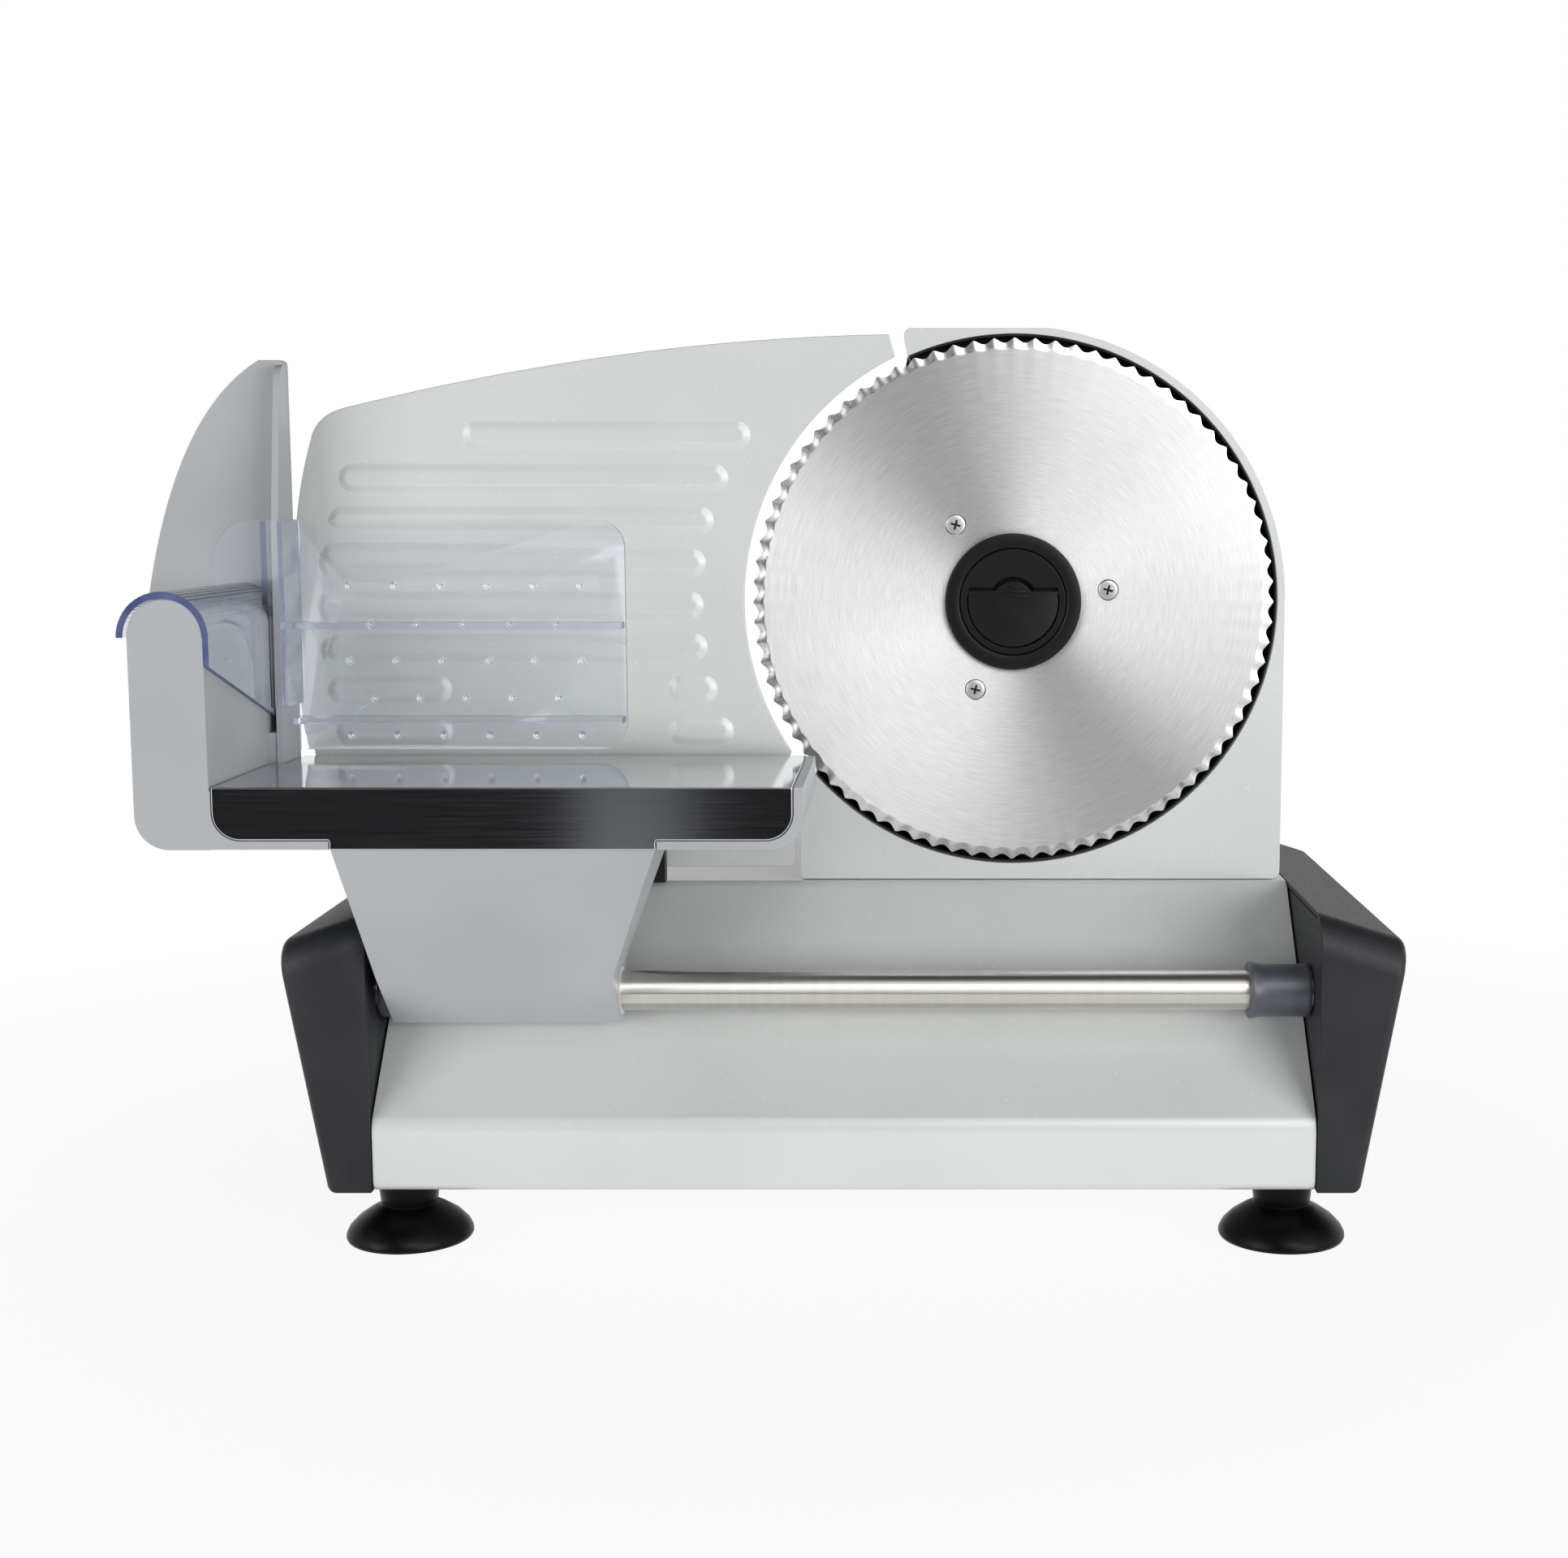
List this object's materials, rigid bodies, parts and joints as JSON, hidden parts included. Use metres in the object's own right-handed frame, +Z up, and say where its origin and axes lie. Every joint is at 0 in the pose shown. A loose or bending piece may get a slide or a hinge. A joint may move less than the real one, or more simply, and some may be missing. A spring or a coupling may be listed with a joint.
{
  "type": "electric food slicer",
  "caption": "Tabletop electric food slicer with a toothed round blade, ribbed thickness fence, sliding food carriage, clear spiked pusher and suction feet.",
  "frame": {"origin": "on the table, under the middle of the whole slicer's box, with the carriage at its left end", "axes": "+X to the user's right along the guide rod, +Y away from the user, +Z up"},
  "size_m": [0.4422, 0.2582, 0.3163],
  "materials": {
    "painted_steel": "satin light grey paint",
    "painted_cast": "satin light grey paint on a casting",
    "painted_cover": "satin light grey paint on plastic",
    "black_plastic": "fine textured satin black",
    "black_gloss": "gloss black",
    "grey_plastic": "satin grey",
    "white_plastic": "natural nylon",
    "clear_plastic": "clear, faintly blue",
    "rubber": "smooth black rubber",
    "stainless": "brushed stainless steel",
    "polished_steel": "polished stainless steel",
    "zinc_steel": "zinc plated steel",
    "cast_aluminium": "raw casting",
    "bronze": "sintered bronze"
  },
  "bodies": {
    "base": {"foot_1": "rubber", "foot_2": "rubber", "foot_3": "rubber", "foot_4": "rubber", "foot_screw_1": "zinc_steel", "foot_screw_2": "zinc_steel", "foot_screw_3": "zinc_steel", "foot_screw_4": "zinc_steel", "base_frame": "painted_steel", "base_plate": "zinc_steel", "left_cheek": "black_plastic", "right_cheek": "black_plastic", "guide_rod": "stainless", "rod_screw_left": "zinc_steel", "rod_screw_right": "zinc_steel", "bump_stop_left": "rubber", "bump_stop_right": "rubber", "blade_housing": "painted_cast", "motor_cover": "painted_cover", "switch_body": "black_plastic", "motor": "zinc_steel", "gearbox_case": "cast_aluminium", "spindle_bush_front": "bronze", "spindle_bush_rear": "bronze", "worm_bush": "bronze", "slide_rail_left": "stainless", "slide_rail_right": "stainless", "rail_stand": "zinc_steel", "dial_bush": "bronze", "cord_gland": "black_plastic"},
    "cutter": {"blade": "stainless", "blade_screw_1": "stainless", "blade_screw_2": "stainless", "blade_screw_3": "stainless", "blade_hub": "black_plastic", "hub_ring": "black_plastic", "spindle": "stainless", "worm_wheel": "white_plastic"},
    "worm": {"worm_shaft": "stainless"},
    "lock": {"lock_knob": "black_plastic", "lever_pin": "stainless"},
    "lever": {"lock_lever": "black_plastic"},
    "carriage": {"carriage_body": "grey_plastic", "food_tray": "polished_steel", "glide_bush_left": "white_plastic", "glide_bush_right": "white_plastic", "rear_glide": "black_plastic"},
    "pusher": {"food_pusher": "clear_plastic"},
    "dial": {"thickness_dial": "black_plastic", "dial_spindle": "stainless", "thickness_cam": "white_plastic"},
    "fence": {"fence_plate": "painted_steel", "fence_bracket": "zinc_steel", "slide_block": "white_plastic", "cam_pin": "stainless"},
    "rocker": {"switch_rocker": "black_gloss"}
  },
  "joints": [
    {"name": "blade_spin", "type": "hinge", "parent": "base", "child": "cutter", "pos_m": [0.09013, -0.0281, 0.218], "axis": [0, 1, 0], "continuous": true},
    {"name": "worm_spin", "type": "hinge", "parent": "base", "child": "worm", "pos_m": [0.09013, 0.0369, 0.182], "axis": [1, 0, 0], "continuous": true},
    {"name": "lock_turn", "type": "hinge", "parent": "cutter", "child": "lock", "pos_m": [0.09013, -0.0281, 0.218], "axis": [0, 1, 0], "range_deg": [0, 45]},
    {"name": "lever_tip", "type": "hinge", "parent": "lock", "child": "lever", "pos_m": [0.09013, -0.0261, 0.2212], "axis": [1, 0, 0], "range_deg": [-25, 0]},
    {"name": "carriage_slide", "type": "slide", "parent": "base", "child": "carriage", "axis": [1, 0, 0], "range_m": [0, 0.2165]},
    {"name": "pusher_slide", "type": "slide", "parent": "carriage", "child": "pusher", "axis": [0, 1, 0], "range_m": [-0.075, 0]},
    {"name": "dial_turn", "type": "hinge", "parent": "base", "child": "dial", "pos_m": [-0.07987, 0.1059, 0.085], "axis": [0, 1, 0], "range_deg": [0, 300]},
    {"name": "fence_slide", "type": "slide", "parent": "base", "child": "fence", "axis": [0, 1, 0], "range_m": [0, 0.015]},
    {"name": "rocker_tip", "type": "hinge", "parent": "base", "child": "rocker", "pos_m": [0.18413, 0.0742, 0.1368], "axis": [0, 1, 0], "range_deg": [0, 14]}
  ],
  "couplings": [
    {"joint": "worm_spin", "follows": "blade_spin", "ratio": 40},
    {"joint": "dial_turn", "follows": "fence_slide", "rad_per_m": 349.06}
  ]
}
